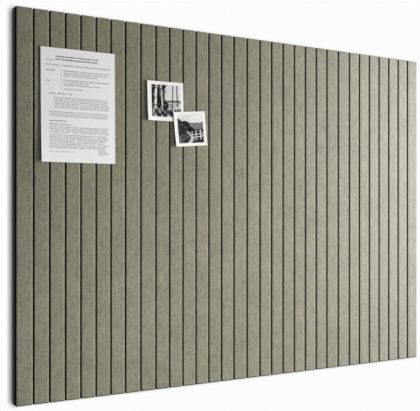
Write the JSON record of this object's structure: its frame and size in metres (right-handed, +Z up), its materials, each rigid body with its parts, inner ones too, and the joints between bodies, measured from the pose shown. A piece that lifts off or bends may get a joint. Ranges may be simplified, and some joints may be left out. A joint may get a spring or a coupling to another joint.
{
  "type": "felt bulletin board",
  "caption": "Wall-hung pin board faced with upright olive-grey felt slats on a black frame, hung on hooked cleats, with a typed sheet and small photo prints.",
  "frame": {"origin": "centre of the wall cleat's back face, on the wall, 60 mm below the board's top edge", "axes": "+X to the right along the board, +Y into the wall, +Z up; the felt faces -Y"},
  "size_m": [1.42, 0.0476, 1.016],
  "materials": {
    "felt": "olive grey pressed felt, matte",
    "backing": "black pressed felt, matte",
    "frame": "black lacquered fibreboard, satin",
    "cleat": "mill finish sheet, satin",
    "screw": "bright zinc plate",
    "bumper": "black rubber, matte",
    "note_paper": "office paper, matte",
    "photo_paper": "photo paper, satin",
    "hook_pad": "black hook tape on foam"
  },
  "bodies": {
    "wall_cleat": {"wall_cleat": "cleat"},
    "board": {"felt_slat_01": "felt", "felt_slat_02": "felt", "felt_slat_03": "felt", "felt_slat_04": "felt", "felt_slat_05": "felt", "felt_slat_06": "felt", "felt_slat_07": "felt", "felt_slat_08": "felt", "felt_slat_09": "felt", "felt_slat_10": "felt", "felt_slat_11": "felt", "felt_slat_12": "felt", "felt_slat_13": "felt", "felt_slat_14": "felt", "felt_slat_15": "felt", "felt_slat_16": "felt", "felt_slat_17": "felt", "felt_slat_18": "felt", "felt_slat_19": "felt", "felt_slat_20": "felt", "felt_slat_21": "felt", "felt_slat_22": "felt", "felt_slat_23": "felt", "felt_slat_24": "felt", "felt_slat_25": "felt", "felt_slat_26": "felt", "felt_slat_27": "felt", "felt_slat_28": "felt", "felt_slat_29": "felt", "felt_slat_30": "felt", "felt_slat_31": "felt", "felt_slat_32": "felt", "felt_backing_1": "backing", "felt_backing_2": "backing", "felt_backing_3": "backing", "felt_backing_4": "backing", "frame_top_rail": "frame", "frame_bottom_rail": "frame", "frame_left_stile": "frame", "frame_right_stile": "frame", "frame_joint_stile_1": "frame", "frame_joint_stile_2": "frame", "frame_joint_stile_3": "frame", "board_cleat": "cleat", "cleat_screw_1": "screw", "cleat_screw_2": "screw", "cleat_screw_3": "screw", "cleat_screw_4": "screw", "cleat_screw_5": "screw", "bumper_left": "bumper", "bumper_right": "bumper"},
    "note": {"note_sheet": "note_paper", "note_hook_pad": "hook_pad"},
    "print_1": {"photo_print_1": "photo_paper", "print_hook_pad_1": "hook_pad"},
    "print_2": {"photo_print_2": "photo_paper", "print_hook_pad_2": "hook_pad"}
  },
  "joints": [
    {"name": "board_lift", "type": "slide", "parent": "wall_cleat", "child": "board", "axis": [0, 0, 1], "range_m": [0, 0.014]},
    {"name": "note_pull", "type": "slide", "parent": "board", "child": "note", "axis": [0, -1, 0], "range_m": [0, 0.06]},
    {"name": "print_1_pull", "type": "slide", "parent": "board", "child": "print_1", "axis": [0, -1, 0], "range_m": [0, 0.06]},
    {"name": "print_2_pull", "type": "slide", "parent": "print_1", "child": "print_2", "axis": [0, -1, 0], "range_m": [0, 0.06]}
  ]
}
